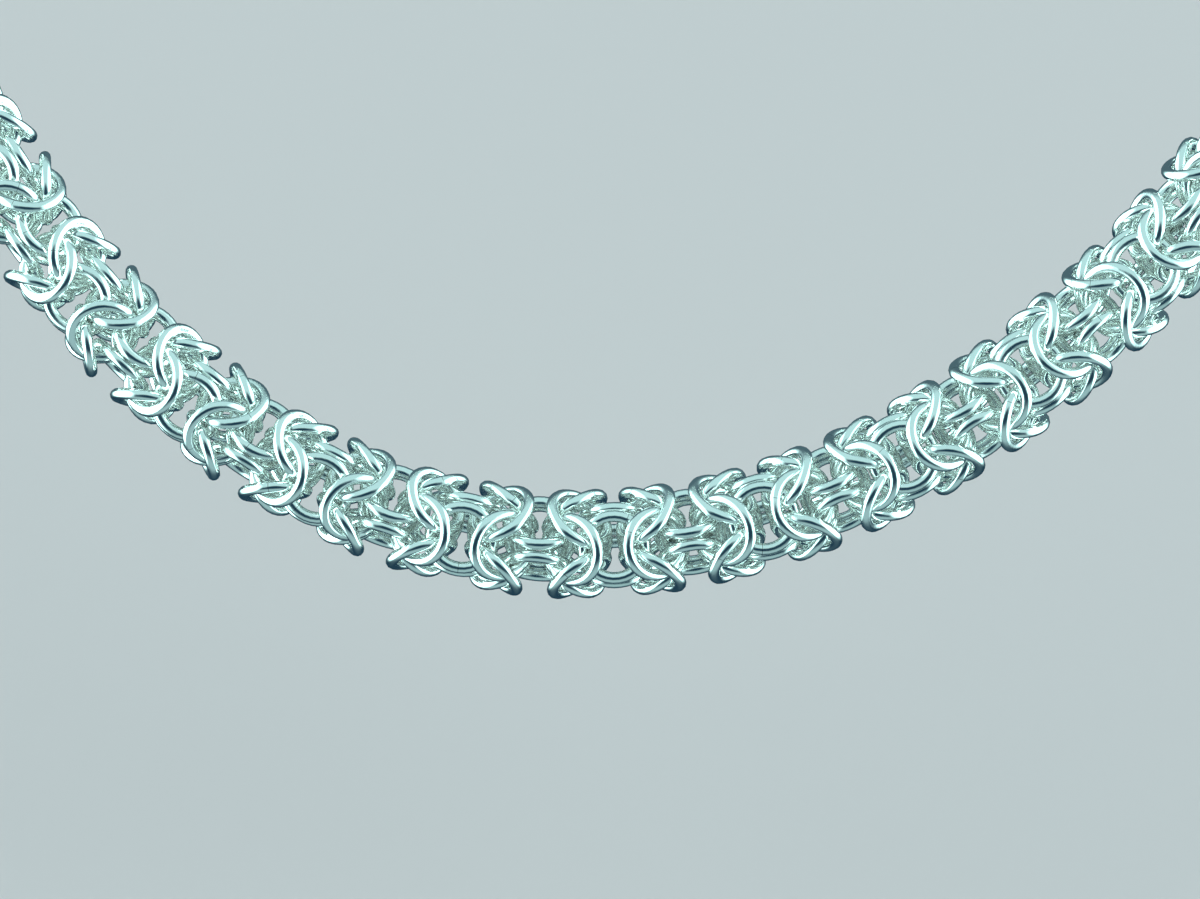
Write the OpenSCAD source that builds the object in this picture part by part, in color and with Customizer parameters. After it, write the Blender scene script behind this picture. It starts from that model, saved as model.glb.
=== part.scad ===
// A round chainmail necklace, held in the form that it has when worn.
// The loop lies on a slope that is nearly level at the nape of the neck and steep on the chest.
// The nape is at the back (+Y) and highest, and the front of the loop hangs low towards -Y.
// The origin is the middle of the clasp's inner side, where the necklace bears on the nape.

/* [Loop] */
// Half the distance across the loop, between the chain's centre lines midway down it
loop_half_width = 68; // [60:0.5:74]
// Half the loop's length from nape to front, measured down the slope
loop_half_length = 77; // [72:0.5:86]
// Share of its width that the loop loses towards the front and gains towards the nape
loop_narrowing = 0.12; // [0:0.01:0.18]
// Fall of the slope below level at the nape, in degrees
slope_at_nape = 20; // [10:1:30]
// Fall of the slope below level at the front, in degrees
slope_at_front = 65; // [55:1:75]

/* [Chain] */
// Outer diameter of the round weave, over its bulging rings
chain_d = 9.1; // [8:0.1:10]
// Sections along the chain's outer form
chain_sections = 76; // [40:4:80]
// Flat sides round each section
chain_sides = 12; // [8:1:12]

/* [Clasp] */
// Length of the clasp, measured round the nape
clasp_length = 23; // [20:0.5:26]
// Depth of the cup at each end, which takes the chain's end
cup_depth = 6; // [4:0.5:8]
// Thickness of the cup's wall
cup_wall = 0.8; // [0.6:0.1:1.2]
// Thickness of the round bead on each cup's rim
rim_bead_d = 1.4; // [1.2:0.1:1.8]
// Width and depth of the seam where the clasp's halves meet
seam_w = 0.4; // [0.3:0.1:0.6]
// Clear gap between the chain and the clasp
fit_gap = 0.3; // [0.2:0.05:0.4]

/* [Hidden] */

silver = [0.80, 0.84, 0.86];
clasp_silver = [0.72, 0.76, 0.78];

cup_bore_d = chain_d + 2 * fit_gap;
clasp_d = cup_bore_d + 2 * cup_wall;

// The slope curves down like a wide cylinder that lies along X
slope_r = 2 * loop_half_length * 180 / PI / (slope_at_front - slope_at_nape);
// Radius of the loop's bend at the nape, which the clasp follows
nape_r = pow(loop_half_width * (1 + loop_narrowing), 2) / loop_half_length;
clasp_turn = clasp_length / nape_r * 180 / PI;
cup_turn = cup_depth / nape_r * 180 / PI;
// Half the length of the clasp's solid middle, with the gap at its cups' floors
chain_start = clasp_length / 2 - cup_depth + fit_gap;
start_turn = asin(chain_start / (loop_half_width * (1 + loop_narrowing)));

// Fall of the slope at a distance down from the nape
function fall(down) = slope_at_nape + (slope_at_front - slope_at_nape) * down / (2 * loop_half_length);

// Centre of the chain at the nape, outside the clasp's inner side
nape_centre = [0, cos(slope_at_nape), sin(slope_at_nape)] * clasp_d / 2;

// A turn of 0 is the nape and 180 the front
function side_at(turn) = loop_half_width * sin(turn) * (1 + loop_narrowing * cos(turn));
function down_at(turn) = loop_half_length * (1 - cos(turn));
function centre_at(turn) = nape_centre + [
    side_at(turn),
    -slope_r * (sin(fall(down_at(turn))) - sin(slope_at_nape)),
    slope_r * (cos(fall(down_at(turn))) - cos(slope_at_nape))
];

// Three directions at a place on the loop: along the chain, off the slope, and across the chain
function unit(v) = v / norm(v);
function down_slope(turn) = [0, -cos(fall(down_at(turn))), -sin(fall(down_at(turn)))];
function along(turn) = unit([loop_half_width * (cos(turn) + loop_narrowing * cos(2 * turn)), 0, 0]
    + loop_half_length * sin(turn) * down_slope(turn));
function off_slope(turn) = [0, -sin(fall(down_at(turn))), cos(fall(down_at(turn)))];
function across(turn) = cross(along(turn), off_slope(turn));

function section_turn(i) = start_turn + (360 - 2 * start_turn) * i / (chain_sections - 1);
function section_point(turn, angle) = centre_at(turn)
    + chain_d / 2 * (cos(angle) * off_slope(turn) + sin(angle) * across(turn));

// One smooth tube in the weave's outer form, swept from the left cup round the front to the right
module chain() {
    points = [
        for (i = [0 : chain_sections - 1])
        for (j = [0 : chain_sides - 1])
        section_point(section_turn(i), 360 * j / chain_sides)
    ];
    start_face = [for (j = [0 : chain_sides - 1]) j];
    end_face = [for (j = [chain_sides - 1 : -1 : 0]) (chain_sections - 1) * chain_sides + j];
    side_faces = [
        for (i = [0 : chain_sections - 2])
        for (j = [0 : chain_sides - 1])
        let (next = (j + 1) % chain_sides)
        [
            i * chain_sides + j,
            (i + 1) * chain_sides + j,
            (i + 1) * chain_sides + next,
            i * chain_sides + next
        ]
    ];
    color(silver)
    polyhedron(points, concat([start_face, end_face], side_faces), convexity = 10);
}

// Part of a round bar bent to the nape's radius, centred on the angle "at"
module bent_bar(diameter, turn, at = 0) {
    rotate([0, 0, 90 + at - turn / 2])
    rotate_extrude(angle = turn, $fn = 96)
    translate([nape_r, 0])
    circle(d = diameter, $fn = 48);
}

// A ring round the bent bar, in the plane across it at the angle "at"
module ring_round_bar(radius, wire_d, at) {
    rotate([0, 0, at])
    translate([0, nape_r, 0])
    rotate([0, 90, 0])
    rotate_extrude($fn = 64)
    translate([radius, 0])
    circle(d = wire_d, $fn = 24);
}

// A plain barrel with a cup at each end, bent to lie on the nape
module clasp() {
    color(clasp_silver)
    translate(nape_centre)
    rotate([slope_at_nape, 0, 0])
    translate([0, -nape_r, 0])
    difference() {
        union() {
            bent_bar(clasp_d, clasp_turn);
            for (side = [-1, 1])
                ring_round_bar((clasp_d + cup_bore_d) / 4, rim_bead_d, side * clasp_turn / 2);
        }
        for (side = [-1, 1])
            bent_bar(cup_bore_d, 2 * cup_turn, side * clasp_turn / 2);
        ring_round_bar(clasp_d / 2, seam_w, 0);
    }
}

chain();
clasp();
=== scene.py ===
import bpy
import math
from mathutils import Matrix, Vector


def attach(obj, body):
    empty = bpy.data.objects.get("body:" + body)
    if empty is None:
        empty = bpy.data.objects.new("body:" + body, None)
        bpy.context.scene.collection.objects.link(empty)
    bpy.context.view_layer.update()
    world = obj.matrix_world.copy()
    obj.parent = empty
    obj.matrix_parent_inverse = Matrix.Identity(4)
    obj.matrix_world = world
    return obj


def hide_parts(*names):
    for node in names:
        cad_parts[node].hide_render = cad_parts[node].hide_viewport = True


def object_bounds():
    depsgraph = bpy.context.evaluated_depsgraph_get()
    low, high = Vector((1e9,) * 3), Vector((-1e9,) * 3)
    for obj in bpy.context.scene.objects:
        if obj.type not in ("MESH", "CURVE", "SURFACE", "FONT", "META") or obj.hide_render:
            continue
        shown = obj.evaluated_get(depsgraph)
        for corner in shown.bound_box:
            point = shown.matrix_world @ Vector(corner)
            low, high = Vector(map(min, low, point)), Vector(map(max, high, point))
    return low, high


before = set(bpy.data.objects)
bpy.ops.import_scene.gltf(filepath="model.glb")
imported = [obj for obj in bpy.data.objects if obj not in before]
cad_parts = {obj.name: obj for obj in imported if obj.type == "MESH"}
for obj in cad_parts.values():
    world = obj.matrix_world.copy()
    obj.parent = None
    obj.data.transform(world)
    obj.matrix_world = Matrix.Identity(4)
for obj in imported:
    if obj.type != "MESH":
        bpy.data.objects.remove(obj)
cad_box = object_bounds()
scene = bpy.context.scene


# The woven chain: 633 jump rings of round 1.0 mm sterling silver wire, each bent into a ring of 4.2 mm
# inner width and closed with its ends butted. Each ring passes through four others, and the chain hangs
# from the nape in the loop that it takes when worn.

# The loop starts at the nape, goes down over the wearer's left shoulder, round the front and back up.
# It lies on a slope that curves down like a wide cylinder along X.
loop_half_width = 0.068
loop_half_length = 0.077
loop_narrowing = 0.12
loop_steps = 1440
slope_at_nape = math.radians(20)
slope_at_front = math.radians(65)
clasp_radius = 0.00565
slope_radius = 2 * loop_half_length / (slope_at_front - slope_at_nape)
outward_at_nape = Vector((0, math.cos(slope_at_nape), math.sin(slope_at_nape)))
square_to_nape = Vector((0, -math.sin(slope_at_nape), math.cos(slope_at_nape)))
nape_centre = outward_at_nape * clasp_radius
slope_axis = nape_centre - slope_radius * square_to_nape


def loop_centre(turn):
    """The chain's centre, a turn of 0 being the nape and pi the front."""
    fall = slope_at_nape + loop_half_length * (1 - math.cos(turn)) / slope_radius
    off_slope = Vector((0, -math.sin(fall), math.cos(fall)))
    side = loop_half_width * math.sin(turn) * (1 + loop_narrowing * math.cos(turn))
    return slope_axis + slope_radius * off_slope + Vector((side, 0, 0))


loop_points = [loop_centre(2 * math.pi * i / loop_steps) for i in range(loop_steps + 1)]
loop_length = sum((b - a).length for a, b in zip(loop_points, loop_points[1:]))


# A node's output on which plain sums work: each sum adds a Math node to the tree, or a Vector Math
# node where one side is a vector. Any other node comes from its node method.
class Reading:
    def __init__(self, tree, output):
        self.tree = tree
        self.output = output

    def node(self, kind, *values, sockets=None, out=0, **settings):
        """A new node: its settings, the values of its first sockets in turn, and those of named ones."""
        made = self.tree.nodes.new(kind)
        for name, value in settings.items():
            setattr(made, name, value)
        for name, value in [*enumerate(values), *(sockets or {}).items()]:
            if isinstance(value, Reading):
                self.tree.links.new(value.output, made.inputs[name])
            else:
                made.inputs[name].default_value = value
        return Reading(self.tree, made.outputs[out])

    def sum(self, operation, *values):
        if not any(isinstance(v, Reading) and v.output.type == "VECTOR" for v in values):
            return self.node("ShaderNodeMath", *values, operation=operation)
        values = [(v, v, v) if isinstance(v, (int, float)) else v for v in values]
        return self.node("ShaderNodeVectorMath", *values, operation=operation)

    def __add__(self, other):
        return self.sum("ADD", self, other)

    def __radd__(self, other):
        return self.sum("ADD", other, self)

    def __sub__(self, other):
        return self.sum("SUBTRACT", self, other)

    def __rsub__(self, other):
        return self.sum("SUBTRACT", other, self)

    def __mul__(self, other):
        return self.sum("MULTIPLY", self, other)

    def __rmul__(self, other):
        return self.sum("MULTIPLY", other, self)

    def __truediv__(self, other):
        return self.sum("DIVIDE", self, other)


# The silver is bright on the outside of the chain. Deep between the rings it is yellower, a little darker
# and duller, partly as tarnish where polish doesn't reach and partly as painted shade. It has fine drawing
# lines along the wire, hairline scratches and handled patches.
silver_bright = (0.95, 0.97, 0.95, 1)
# The deep colour is partly tarnish and partly painted shade between the rings
silver_tarnish_and_shade = (0.96, 0.955, 0.91, 1)
silver_dull = (0.87, 0.90, 0.88, 1)
# Dark for the rings' joints, and painted shade inside the clasp's cups
joint_and_shade_dark = (0.28, 0.29, 0.28, 1)
cloud_scale = 420
smudge_scale = 1300
handled_contrast = 5
handled_threshold = 2.9
least_tarnish_and_shade = 0.6
cloudy_tarnish_and_shade = 0.8
handled_dulling = 0.35
own_dulling = 0.3
scratch_scale = 1500
scratch_stretch = (1, 0.25, 0.6)
scratch_waver = 0.002
scratch_fineness = 30
# What each mark adds to the roughness
cloud_roughness = 0.04
tarnish_roughness = 0.18
line_roughness = 0.04
own_roughness = 0.03
handled_roughness = 0.10
# How high each mark stands, where a line of the grain counts as 1
smudge_height = 0.6
scratch_depth = 0.5
grain_lost_to_tarnish = 0.8
seam_sink = 3
grain_strength = 0.07
grain_height = 0.00002


def new_silver(name):
    """A new material, and the method that adds nodes to it."""
    made = bpy.data.materials.new(name)
    made.use_nodes = True
    return made, Reading(made.node_tree, made.node_tree.nodes["Principled BSDF"].outputs[0]).node


def polished(made, how_deep, own_polish_and_shade, lines, joints_and_shade, polish):
    """Finishes a silver material: how deep a point lies sets its tarnish and painted shade, and lines run
    along its grain.
    """
    tree = made.node_tree
    shader = tree.nodes["Principled BSDF"]
    shader.inputs["Metallic"].default_value = 1
    add = how_deep.node

    def mixed(share, first, second):
        # Sockets 6 and 7 are the Mix node's two colours
        return add("ShaderNodeMix", share, sockets={6: first, 7: second}, out=2, data_type="RGBA")

    place = add("ShaderNodeTexCoord", out="Object")
    clouds = add("ShaderNodeTexNoise", sockets={"Vector": place, "Scale": cloud_scale, "Detail": 2})
    smudges = add("ShaderNodeTexNoise", sockets={"Vector": place, "Scale": smudge_scale, "Detail": 4})
    handled = add("ShaderNodeMath", smudges * handled_contrast - handled_threshold, 0, operation="MAXIMUM")
    cloudiness = least_tarnish_and_shade + cloudy_tarnish_and_shade * clouds
    # Tarnish with painted shade: the deeper a point lies, the more it takes the yellower, slightly darker
    # deep colour
    tarnish_and_shade = add("ShaderNodeMath", how_deep * cloudiness, 1, operation="MINIMUM")
    tarnished_and_shaded = mixed(tarnish_and_shade, silver_bright, silver_tarnish_and_shade)
    # Handled patches and each ring's own polish dull the colour; inside the clasp's cups this is painted
    # shade
    handled_silver = mixed(handled_dulling * handled + own_dulling * own_polish_and_shade, tarnished_and_shaded, silver_dull)
    # Dark hairlines at the rings' joints, and painted shade inside the clasp's cups
    colour = mixed(joints_and_shade, handled_silver, joint_and_shade_dark)
    # Hairline scratches lie where a stretched cell pattern has its borders
    borders = add(
        "ShaderNodeTexVoronoi",
        sockets={"Vector": place * scratch_stretch + scratch_waver * clouds, "Scale": scratch_scale},
        feature="DISTANCE_TO_EDGE",
    )
    hairline = 1 - add("ShaderNodeMath", borders * scratch_fineness, 1, operation="MINIMUM")
    dullness = (
        polish + cloud_roughness * clouds + tarnish_roughness * tarnish_and_shade + line_roughness * lines
        + own_roughness * own_polish_and_shade + handled_roughness * handled
    )
    grain = lines + smudge_height * smudges - scratch_depth * hairline
    height = grain * (1 - grain_lost_to_tarnish * tarnish_and_shade) - seam_sink * joints_and_shade
    bump = add(
        "ShaderNodeBump",
        sockets={"Height": height, "Strength": grain_strength, "Distance": grain_height},
    )
    tree.links.new(colour.output, shader.inputs["Base Color"])
    tree.links.new(dullness.output, shader.inputs["Roughness"])
    tree.links.new(bump.output, shader.inputs["Normal"])


# Each ring took the polish a little differently, and its drawing lines follow the wire round
ring_polish = 0.035
drawing_scale = 2600
drawing_bend = 0.06
drawing_change = 20
joint_half_width = 0.00004
ring_silver, add = new_silver("ring_silver")
wire_depth = add("ShaderNodeAttribute", out="Fac", attribute_name="depth")
ring_chance = add("ShaderNodeAttribute", out="Fac", attribute_name="ring_chance")
wire_place = add("ShaderNodeAttribute", out="Vector", attribute_name="wire_place")
from_centre = add("ShaderNodeVectorMath", wire_place * (1, 1, 0), out="Value", operation="LENGTH")
off_plane = add("ShaderNodeSeparateXYZ", wire_place, out="Z")
along_grain = add("ShaderNodeCombineXYZ", from_centre, off_plane) + drawing_bend * wire_place
drawing_lines = add(
    "ShaderNodeTexNoise",
    sockets={"Vector": along_grain, "W": drawing_change * ring_chance, "Scale": drawing_scale, "Detail": 3},
    noise_dimensions="4D",
)
# Where the wire's two ends meet there is a dark hairline across it, on one side of the ring
towards_joint = add("ShaderNodeSeparateXYZ", wire_place, out="X")
beside_joint = add("ShaderNodeSeparateXYZ", wire_place, out="Y")
joint_side = add("ShaderNodeMath", towards_joint, 0, operation="GREATER_THAN")
off_joint = add("ShaderNodeMath", beside_joint, operation="ABSOLUTE")
joint = joint_side * add("ShaderNodeMath", 1 - off_joint / joint_half_width, 0, operation="MAXIMUM")
# Deep in the weave the silver takes tarnish and painted shade
polished(ring_silver, wire_depth, ring_chance, drawing_lines, joint, ring_polish)

# The weave: at each station along the loop, three rings stand a third of a turn apart round the chain.
# The whole weave rolls slowly round the chain as it goes past the front.
wire_radius = 0.0005
link_radius = 0.002585
sides_round_link = 32
sides_round_wire = 12
stations = 71
rings_per_station = 3
first_station = 0.00803
station_step = 0.006234
station_turn = math.radians(60)
ring_turn = math.radians(120)
connector_off_axis = 0.00208
leaning_off_axis = 0.00264
lean = math.radians(32.5)
knot_slack = 0.00026
leaning_shift = station_step / 2 - knot_slack
slack_turn = math.radians(1.2)
roll_left = math.radians(-24.9)
roll_before_front = 0.042
roll_after_front = 0.060
weave_half_thickness = leaning_off_axis + link_radius * math.sin(lean) + wire_radius


def weave_tree():
    """A tree that sets rings round a path: three at each station, a third of a turn apart."""
    tree = bpy.data.node_groups.new("ring_weave", "GeometryNodeTree")
    face = tree.interface
    face.new_socket("Path", in_out="INPUT", socket_type="NodeSocketGeometry")
    for name in ("Start", "Stations", "Seed", "Sides round link", "Sides round wire"):
        face.new_socket(name, in_out="INPUT", socket_type="NodeSocketInt")
    for name in (
        "First station", "Station step", "Shift", "Off axis", "Lean", "Turn",
        "Link radius", "Wire radius", "Slack",
        "Roll left", "Roll start", "Roll end", "Half thickness",
    ):
        face.new_socket(name, in_out="INPUT", socket_type="NodeSocketFloat")
    face.new_socket("Slope axis", in_out="INPUT", socket_type="NodeSocketVector")
    face.new_socket("Silver", in_out="INPUT", socket_type="NodeSocketMaterial")
    face.new_socket("Rings", in_out="OUTPUT", socket_type="NodeSocketGeometry")
    inlet = tree.nodes.new("NodeGroupInput")
    size = {s.name: Reading(tree, s) for s in inlet.outputs if s.name}
    add = size["Path"].node
    index = add("GeometryNodeInputIndex")

    def by_chance(low, high, seed):
        # Sockets 2 and 3 are the limits of a plain number, 7 the ring's index and 8 the seed
        return add(
            "FunctionNodeRandomValue", sockets={2: low, 3: high, 7: index, 8: seed}, out=1,
            data_type="FLOAT",
        )

    def round_curve(sides, radius):
        return add(
            "GeometryNodeCurvePrimitiveCircle", sockets={"Resolution": sides, "Radius": radius},
            mode="RADIUS",
        )

    def store(geometry, name, value, kind):
        return add(
            "GeometryNodeStoreNamedAttribute",
            sockets={"Geometry": geometry, "Name": name, "Value": value},
            data_type=kind, domain="POINT",
        )

    def stored(name, kind):
        return add("GeometryNodeInputNamedAttribute", sockets={"Name": name}, data_type=kind)

    # Each ring's station and place along the path
    path = add("GeometryNodeMeshToCurve", sockets={"Mesh": size["Path"]})
    own_station = add("ShaderNodeMath", index / rings_per_station, operation="FLOOR")
    third = index - own_station * rings_per_station
    station = own_station + size["Start"]
    along = size["First station"] + station * size["Station step"] + size["Shift"]
    sample = tree.nodes.new("GeometryNodeSampleCurve")
    sample.mode = "LENGTH"
    sample.data_type = "FLOAT"
    tree.links.new(path.output, sample.inputs["Curves"])
    tree.links.new(along.output, sample.inputs["Length"])
    centre = Reading(tree, sample.outputs["Position"])
    tangent = Reading(tree, sample.outputs["Tangent"])

    # Directions off the slope and across the chain there
    up = (centre - size["Slope axis"]) * (0, 1, 1)
    off_slope = add("ShaderNodeVectorMath", up, operation="NORMALIZE")
    across = add("ShaderNodeVectorMath", tangent, off_slope, operation="CROSS_PRODUCT")
    roll = add(
        "ShaderNodeMapRange",
        sockets={
            "Value": along, "From Min": size["Roll start"], "From Max": size["Roll end"],
            "To Min": 0, "To Max": size["Roll left"],
        },
        interpolation_type="SMOOTHSTEP",
    )
    angle = station * station_turn + third * ring_turn + size["Turn"] + roll
    cosine = add("ShaderNodeMath", angle, operation="COSINE")
    sine = add("ShaderNodeMath", angle, operation="SINE")
    outward = off_slope * cosine + across * sine
    leaning = size["Lean"] + by_chance(-1.0, 1.0, size["Seed"]) * size["Slack"]
    upright = add("ShaderNodeMath", leaning, operation="COSINE")
    tipped = add("ShaderNodeMath", leaning, operation="SINE")
    facing = outward * upright + tangent * tipped
    ring_centre = centre + outward * size["Off axis"]

    # One ring: a wire bent round and closed, each point of which keeps its place in the ring's own frame
    bend = round_curve(size["Sides round link"], size["Link radius"])
    bar = round_curve(size["Sides round wire"], size["Wire radius"])
    link = add("GeometryNodeCurveToMesh", sockets={"Curve": bend, "Profile Curve": bar})
    here = add("GeometryNodeInputPosition")
    link = store(link, "wire_place", here, "FLOAT_VECTOR")

    # The rings in their places, each turned by chance about its own axis
    points = add(
        "GeometryNodePoints",
        sockets={"Count": size["Stations"] * rings_per_station, "Position": ring_centre},
    )
    chance = by_chance(0.0, 1.0, size["Seed"] + 1)
    points = store(points, "chain_centre", centre, "FLOAT_VECTOR")
    points = store(points, "chain_tangent", tangent, "FLOAT_VECTOR")
    points = store(points, "ring_chance", chance, "FLOAT")
    spin = add(
        "FunctionNodeAxisAngleToRotation", sockets={"Axis": (0, 0, 1), "Angle": chance * 2 * math.pi}
    )
    stand = add("FunctionNodeAlignRotationToVector", sockets={"Vector": facing}, axis="Z")
    stand = add(
        "FunctionNodeRotateRotation", sockets={"Rotation": stand, "Rotate By": spin},
        rotation_space="LOCAL",
    )
    rings = add(
        "GeometryNodeInstanceOnPoints", sockets={"Points": points, "Instance": link, "Rotation": stand}
    )
    rings = add("GeometryNodeRealizeInstances", sockets={"Geometry": rings})

    # How deep in the weave each point lies, 0 at the chain's outside and 1 at its middle, which sets the
    # silver's tarnish and painted shade
    away = here - stored("chain_centre", "FLOAT_VECTOR")
    tangent = stored("chain_tangent", "FLOAT_VECTOR")
    forward = add("ShaderNodeVectorMath", away, tangent, out="Value", operation="DOT_PRODUCT")
    beside = away - tangent * forward
    distance = add("ShaderNodeVectorMath", beside, out="Value", operation="LENGTH")
    depth = add("ShaderNodeMath", 1 - distance / size["Half thickness"], 0, operation="MAXIMUM")
    rings = store(rings, "depth", depth, "FLOAT")
    for name in ("chain_centre", "chain_tangent"):
        rings = add("GeometryNodeRemoveAttribute", sockets={"Geometry": rings, "Name": name})
    rings = add("GeometryNodeSetShadeSmooth", sockets={"Geometry": rings})
    rings = add("GeometryNodeSetMaterial", sockets={"Geometry": rings, "Material": size["Silver"]})
    outlet = tree.nodes.new("NodeGroupOutput")
    tree.links.new(rings.output, outlet.inputs["Rings"])
    return tree


weave = weave_tree()


def woven_rings(name, **sizes):
    """One set of the weave's rings as a plain mesh, made along the loop."""
    path = bpy.data.meshes.new(name + "_path")
    path.from_pydata(loop_points, [(i, i + 1) for i in range(loop_steps)], [])
    piece = bpy.data.objects.new(name, path)
    scene.collection.objects.link(piece)
    modifier = piece.modifiers.new("weave", "NODES")
    modifier.node_group = weave
    for item in weave.interface.items_tree:
        if item.in_out == "INPUT" and item.name in sizes:
            modifier[item.identifier] = sizes[item.name]
    graph = bpy.context.evaluated_depsgraph_get()
    mesh = bpy.data.meshes.new_from_object(
        piece.evaluated_get(graph), preserve_all_data_layers=True, depsgraph=graph
    )
    piece.modifiers.remove(modifier)
    piece.data = mesh
    bpy.data.meshes.remove(path)
    return piece


shared_sizes = {
    "Sides round link": sides_round_link,
    "Sides round wire": sides_round_wire,
    "First station": first_station,
    "Station step": station_step,
    "Link radius": link_radius,
    "Wire radius": wire_radius,
    "Slack": slack_turn,
    "Roll left": roll_left,
    "Roll start": loop_length / 2 - roll_before_front,
    "Roll end": loop_length / 2 + roll_after_front,
    "Half thickness": weave_half_thickness,
    "Slope axis": slope_axis,
    "Silver": ring_silver,
}
ring_sets = {
    "connector_rings": {
        "Start": 1, "Stations": stations - 1,
        "Shift": 0.0, "Off axis": connector_off_axis, "Lean": 0.0, "Turn": 0.0, "Seed": 11,
    },
    "rings_leaning_on": {
        "Start": 0, "Stations": stations,
        "Shift": leaning_shift, "Off axis": leaning_off_axis, "Lean": -lean, "Turn": math.pi, "Seed": 23,
    },
    "rings_leaning_back": {
        "Start": 1, "Stations": stations - 1,
        "Shift": -leaning_shift, "Off axis": leaning_off_axis, "Lean": lean, "Turn": math.pi, "Seed": 37,
    },
}
for name, own_sizes in ring_sets.items():
    rings = woven_rings(name, **shared_sizes, **own_sizes)
    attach(rings, "root")
    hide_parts("chain")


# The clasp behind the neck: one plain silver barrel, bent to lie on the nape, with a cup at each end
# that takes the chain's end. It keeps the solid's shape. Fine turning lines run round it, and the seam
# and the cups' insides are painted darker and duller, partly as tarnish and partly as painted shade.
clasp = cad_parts["clasp"]
clasp_polish = 0.12
seam_depth = 0.0002
inside_shade_darkness = 0.45
inside_shade_and_dullness = 0.5
turning_scale = 9000
clasp_bend = (loop_half_width * (1 + loop_narrowing)) ** 2 / loop_half_length
clasp_silver, add = new_silver("clasp_silver")
clasp_place = add("ShaderNodeTexCoord", out="Object")
# How far a point lies from the barrel's bent middle line
from_bend = clasp_place - tuple(nape_centre - clasp_bend * outward_at_nape)
off_square = add(
    "ShaderNodeVectorMath", from_bend, tuple(square_to_nape), out="Value", operation="DOT_PRODUCT"
)
reach = add("ShaderNodeVectorMath", from_bend, out="Value", operation="LENGTH")
level_reach = add("ShaderNodeMath", reach * reach - off_square * off_square, operation="SQRT")
off_line = level_reach - clasp_bend
from_line = add("ShaderNodeMath", off_line * off_line + off_square * off_square, operation="SQRT")
# Points deeper than the barrel's skin, such as the cups' insides, get painted shade from the deep, dull and
# dark colours
inside = add("ShaderNodeClamp", (clasp_radius - seam_depth - from_line) / seam_depth)
turning = add("ShaderNodeSeparateXYZ", clasp_place, out="X")
turning_lines = add(
    "ShaderNodeTexNoise", sockets={"W": turning, "Scale": turning_scale, "Detail": 3},
    noise_dimensions="1D",
)
polished(
    clasp_silver, inside, inside_shade_and_dullness * inside, turning_lines, inside_shade_darkness * inside, clasp_polish
)
clasp.data.materials.clear()
clasp.data.materials.append(clasp_silver)


# The camera looks at the front of the loop from a little above, square to the slope, through a long lens,
# as the photograph does, and shows about 99 mm of the chain from side to side.
camera_azimuth = math.radians(1.9)
camera_elevation = math.radians(28.4)
camera_roll = math.radians(6.1)
camera_lens = 250
camera_distance = 0.6853
camera_right = 0.0063
camera_up = 0.0081
nearest_seen = 0.01
towards_camera = Vector((
    math.sin(camera_azimuth) * math.cos(camera_elevation),
    -math.cos(camera_azimuth) * math.cos(camera_elevation),
    math.sin(camera_elevation),
))
level_right = Vector((0, 0, 1)).cross(towards_camera).normalized()
level_up = towards_camera.cross(level_right)
picture_right = level_right * math.cos(camera_roll) + level_up * math.sin(camera_roll)
picture_up = level_up * math.cos(camera_roll) - level_right * math.sin(camera_roll)
picture_middle = loop_centre(math.pi) + level_right * camera_right + level_up * camera_up
picture_axes = Matrix((picture_right, picture_up, towards_camera)).transposed()
camera = bpy.data.objects.new("camera", bpy.data.cameras.new("camera"))
camera.data.lens = camera_lens
camera.data.clip_start = nearest_seen
camera.location = picture_middle + towards_camera * camera_distance
camera.rotation_mode = "QUATERNION"
camera.rotation_quaternion = picture_axes.to_quaternion()
scene.collection.objects.link(camera)
scene.camera = camera


# A plain floor of pale paint that lies level below the necklace. It is only a ground for the picture,
# nothing rests on it, and the silver doesn't mirror it.
floor_half_width = 2
floor_drop = 0.03
floor_colour = (0.74, 0.53, 0.54, 1)
floor_roughness = 0.8
floor_height = cad_box[0].z - floor_drop
floor_corners = [
    (x * floor_half_width, y * floor_half_width, floor_height)
    for x, y in ((-1, -1), (1, -1), (1, 1), (-1, 1))
]
floor_mesh = bpy.data.meshes.new("floor")
floor_mesh.from_pydata(floor_corners, [], [(0, 1, 2, 3)])
floor = bpy.data.objects.new("floor", floor_mesh)
scene.collection.objects.link(floor)
floor.visible_glossy = False
floor_paint = bpy.data.materials.new("pale_floor")
floor_paint.use_nodes = True
floor_shader = floor_paint.node_tree.nodes["Principled BSDF"]
floor_shader.inputs["Base Color"].default_value = floor_colour
floor_shader.inputs["Roughness"].default_value = floor_roughness
floor_mesh.materials.append(floor_paint)


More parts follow.
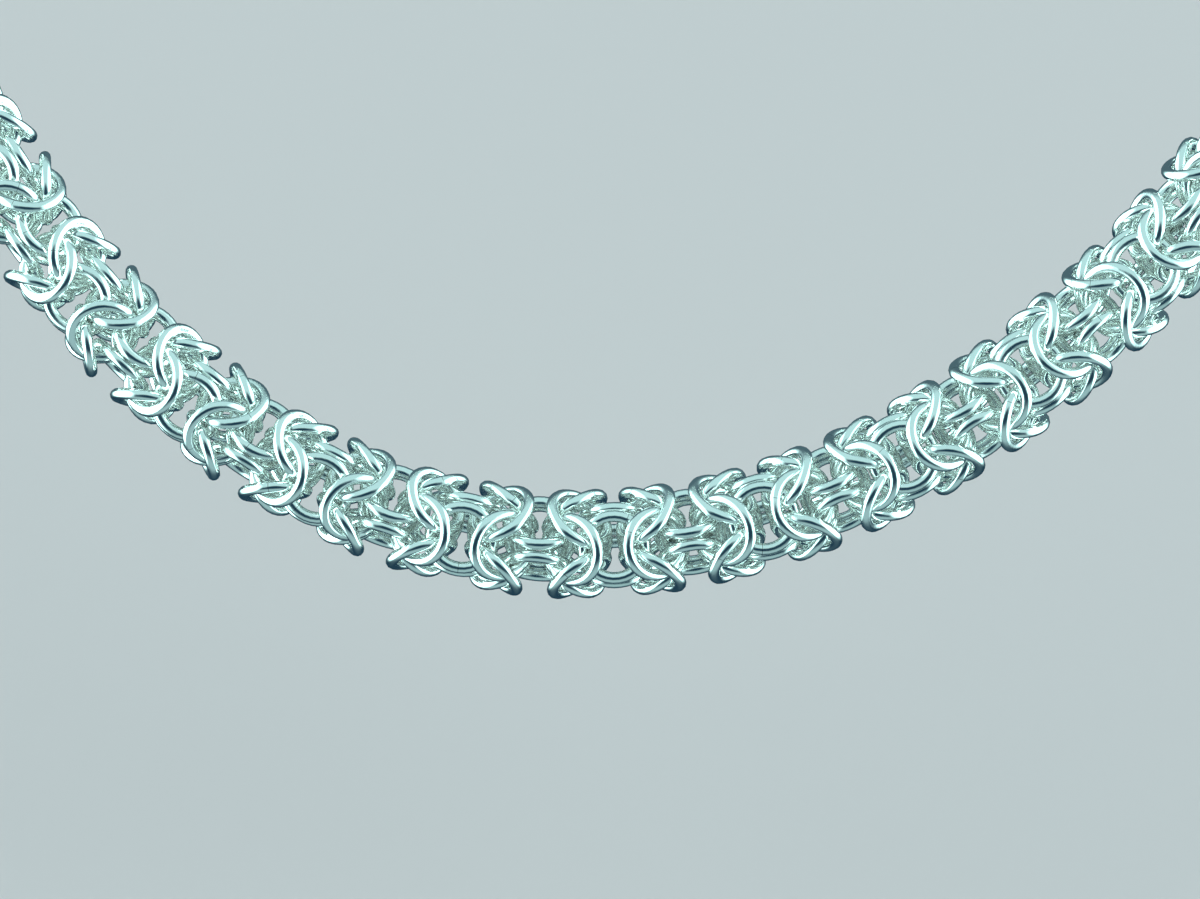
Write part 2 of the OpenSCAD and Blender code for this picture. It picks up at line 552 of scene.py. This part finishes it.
# Soft studio light: a pale tent round the necklace, brightest at the left, a little less so at the right,
# softer above and dim below. It is open to the dark room in front, round the camera and below it, and
# behind, so that each wire shows a dark line between two bright ones.
tent_left = 5.0
tent_right = 4.2
tent_above = 0.74
tent_below = 0.46
tent_colour = (0.64, 1.0, 0.98, 1)
opening_tilt = math.radians(14)
opening_start = math.radians(12)
opening_end = math.radians(34)
behind_dark = 0.88
behind_spread = 0.45
room_dark = 0.075
room_colour = (0.20, 0.62, 1.0, 1)
# Where each part of the tent starts to glow and where it is full, as how far a ray is turned that way
side_edge = (0.55, 1.0)
above_edge = (-0.40, 0.25)
below_edge = (-0.40, -0.90)
behind_edge = (0.35, 0.95)
world = bpy.data.worlds.new("studio")
world.use_nodes = True
scene.world = world
add = Reading(world.node_tree, world.node_tree.nodes["Background"].outputs[0]).node
towards = add("ShaderNodeTexCoord", out="Generated")


def turned(direction):
    """How far a ray is turned to a direction: 1 straight to it, 0 square to it and -1 away from it."""
    return add("ShaderNodeVectorMath", towards, tuple(direction), out="Value", operation="DOT_PRODUCT")


def edge(value, start, end):
    """Runs softly from 0 to 1 between two values."""
    return add("ShaderNodeMapRange", value, start, end, interpolation_type="SMOOTHSTEP")


sideways = turned(picture_right)
upwards = turned(picture_up)
left = edge(sideways, -side_edge[0], -side_edge[1])
right = edge(sideways, *side_edge)
above = edge(upwards, *above_edge)
below = edge(upwards, *below_edge)
opening_middle = towards_camera * math.cos(opening_tilt) - picture_up * math.sin(opening_tilt)
opening = edge(turned(opening_middle), math.cos(opening_end), math.cos(opening_start))
off_level = add("ShaderNodeMath", upwards, operation="ABSOLUTE")
behind = edge(turned(-towards_camera) + behind_spread * off_level, *behind_edge)
ends = above * tent_above + below * tent_below
glow = ends * (1 - left - right) + left * tent_left + right * tent_right
light = add("ShaderNodeBackground", tent_colour, glow * (1 - opening) * (1 - behind_dark * behind))
shade = add("ShaderNodeBackground", room_colour, room_dark)
both = add("ShaderNodeAddShader", light, shade)
world.node_tree.links.new(both.output, world.node_tree.nodes["World Output"].inputs["Surface"])

scene.view_settings.view_transform = "Standard"
